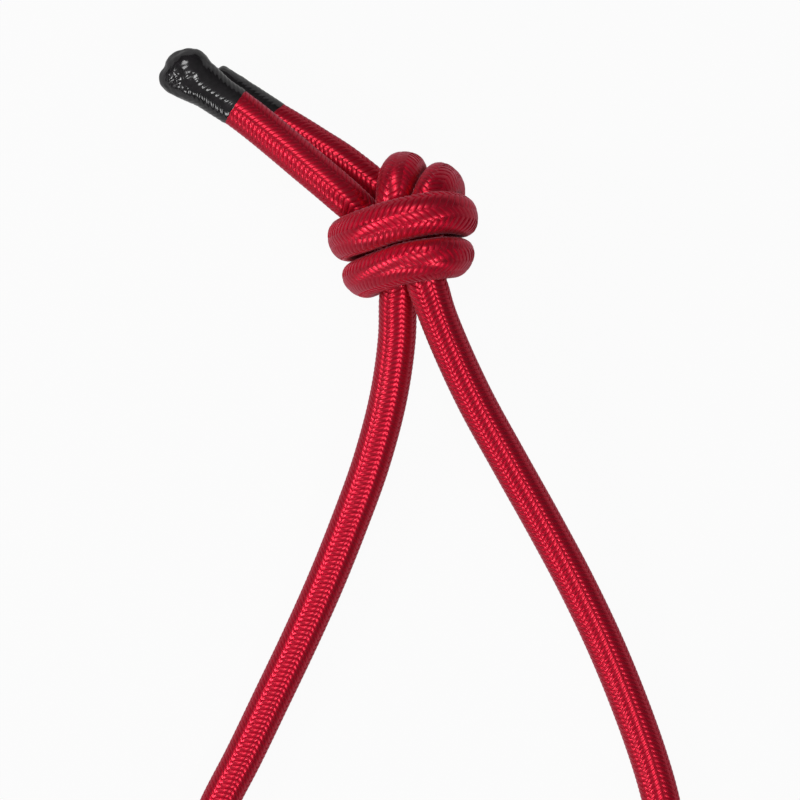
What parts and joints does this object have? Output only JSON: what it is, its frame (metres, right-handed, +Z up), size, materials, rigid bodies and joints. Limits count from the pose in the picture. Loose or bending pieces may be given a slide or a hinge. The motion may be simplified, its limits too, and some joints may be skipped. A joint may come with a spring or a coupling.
{
  "type": "bungee cord",
  "caption": "Red braided elastic cord bent double and tied with an overhand knot, leaving a stretchy loop to hook over things and short tails with black dipped tips.",
  "frame": {"origin": "on the table under the knot, at the middle of the spot where its lowest strand rests", "axes": "+Y from the loop's closed end through the knot towards the tails, +Z up off the table, +X to the right with the tails at the far end"},
  "size_m": [0.114, 0.2459, 0.0394],
  "materials": {
    "sheath": "satin braided yarn",
    "core": "matte rubber threads",
    "tip": "glossy dipped coat"
  },
  "bodies": {
    "knot": {"knot_sheath_left": "sheath", "knot_core_left": "core", "knot_sheath_right": "sheath", "knot_core_right": "core", "tail_sheath_back": "sheath", "tail_core_back": "core", "tail_sheath_front": "sheath", "tail_core_front": "core", "end_cap_back": "tip", "end_cap_front": "tip", "leg_sheath_left": "sheath", "leg_core_left": "core", "leg_sheath_right": "sheath", "leg_core_right": "core"},
    "bight": {"bight_sheath": "sheath", "bight_core": "core"}
  },
  "joints": [
    {"name": "loop_stretch", "type": "slide", "parent": "knot", "child": "bight", "axis": [0, -1, 0], "range_m": [0, 0.13], "stiffness_N_per_m": 1500, "deforming": ["leg_sheath_left", "leg_core_left", "leg_sheath_right", "leg_core_right"]}
  ]
}
